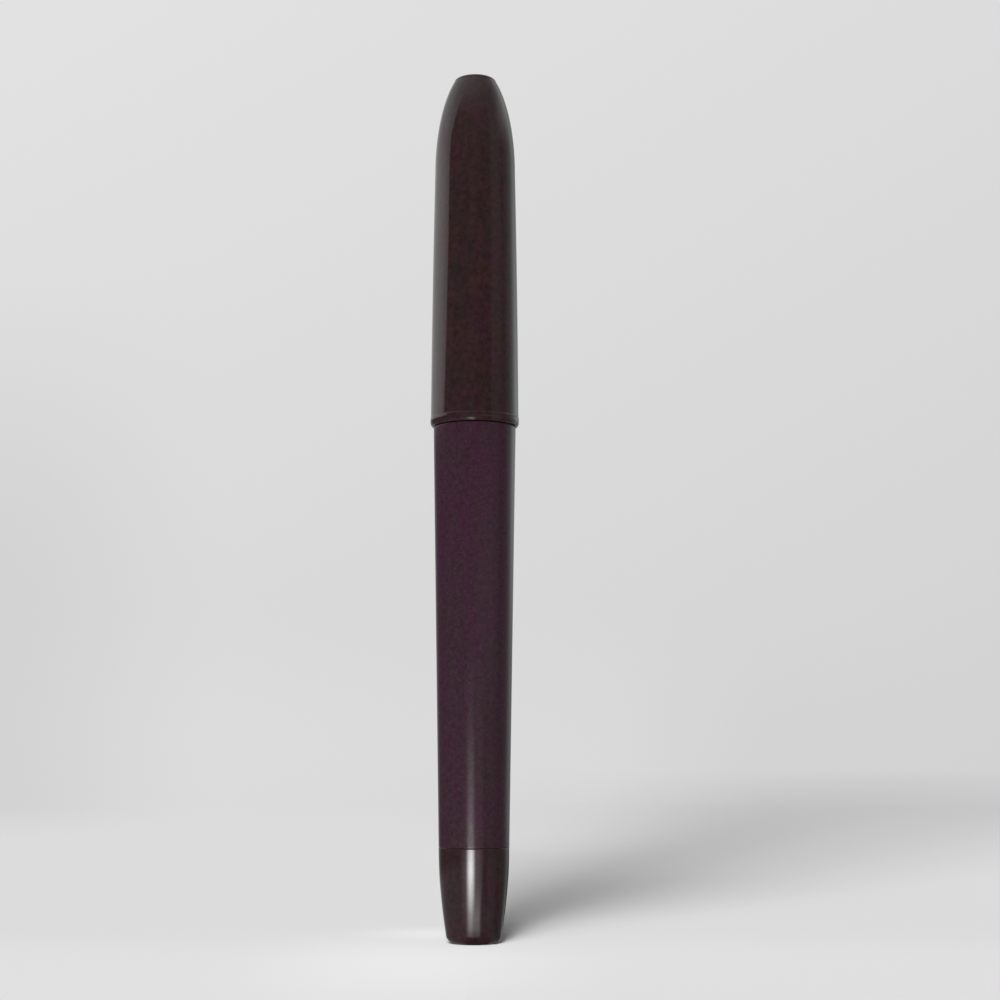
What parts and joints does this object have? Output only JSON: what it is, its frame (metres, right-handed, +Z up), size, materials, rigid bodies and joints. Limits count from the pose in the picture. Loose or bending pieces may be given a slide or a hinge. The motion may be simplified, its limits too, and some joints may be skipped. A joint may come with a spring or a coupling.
{
  "type": "liquid eyeliner pen",
  "caption": "Slim liquid-liner pen standing on its tail: pull-off bullet cap over a felt nib, tapered tank barrel and a tapered tail plug.",
  "frame": {"origin": "centre of the flat foot, on the surface that the pen stands on", "axes": "+Z up along the pen's axis, from the tail plug to the cap's crown; -Y faces the picture's camera"},
  "size_m": [0.0134, 0.0134, 0.132],
  "materials": {
    "gloss_plum": "gloss",
    "satin_plum": "satin",
    "natural_plastic": "satin",
    "black_plastic": "satin",
    "white_plastic": "satin",
    "black_felt": "matte",
    "dark_rubber": "matte",
    "bright_steel": "polished"
  },
  "bodies": {
    "pen": {"barrel": "satin_plum", "tail_plug": "gloss_plum", "tail_seal": "dark_rubber", "front_seal": "dark_rubber", "front_section": "black_plastic", "collector": "white_plastic", "feed_core": "black_felt", "nib_sleeve": "natural_plastic", "nib": "black_felt"},
    "cap": {"cap_shell": "gloss_plum", "cap_spring": "bright_steel"},
    "sealing_cap": {"inner_cap": "natural_plastic"},
    "ball": {"mixing_ball": "bright_steel"}
  },
  "joints": [
    {"name": "cap_pull", "type": "slide", "parent": "pen", "child": "cap", "axis": [0, 0, 1], "range_m": [0, 0.06]},
    {"name": "inner_cap_press", "type": "slide", "parent": "cap", "child": "sealing_cap", "axis": [0, 0, 1], "range_m": [0, 0.0015], "stiffness_N_per_m": 200, "springref_m": -0.003, "deforming": ["cap_spring"]},
    {"name": "ball_shake", "type": "slide", "parent": "pen", "child": "ball", "axis": [0, 0, 1], "range_m": [0, 0.0484]}
  ]
}
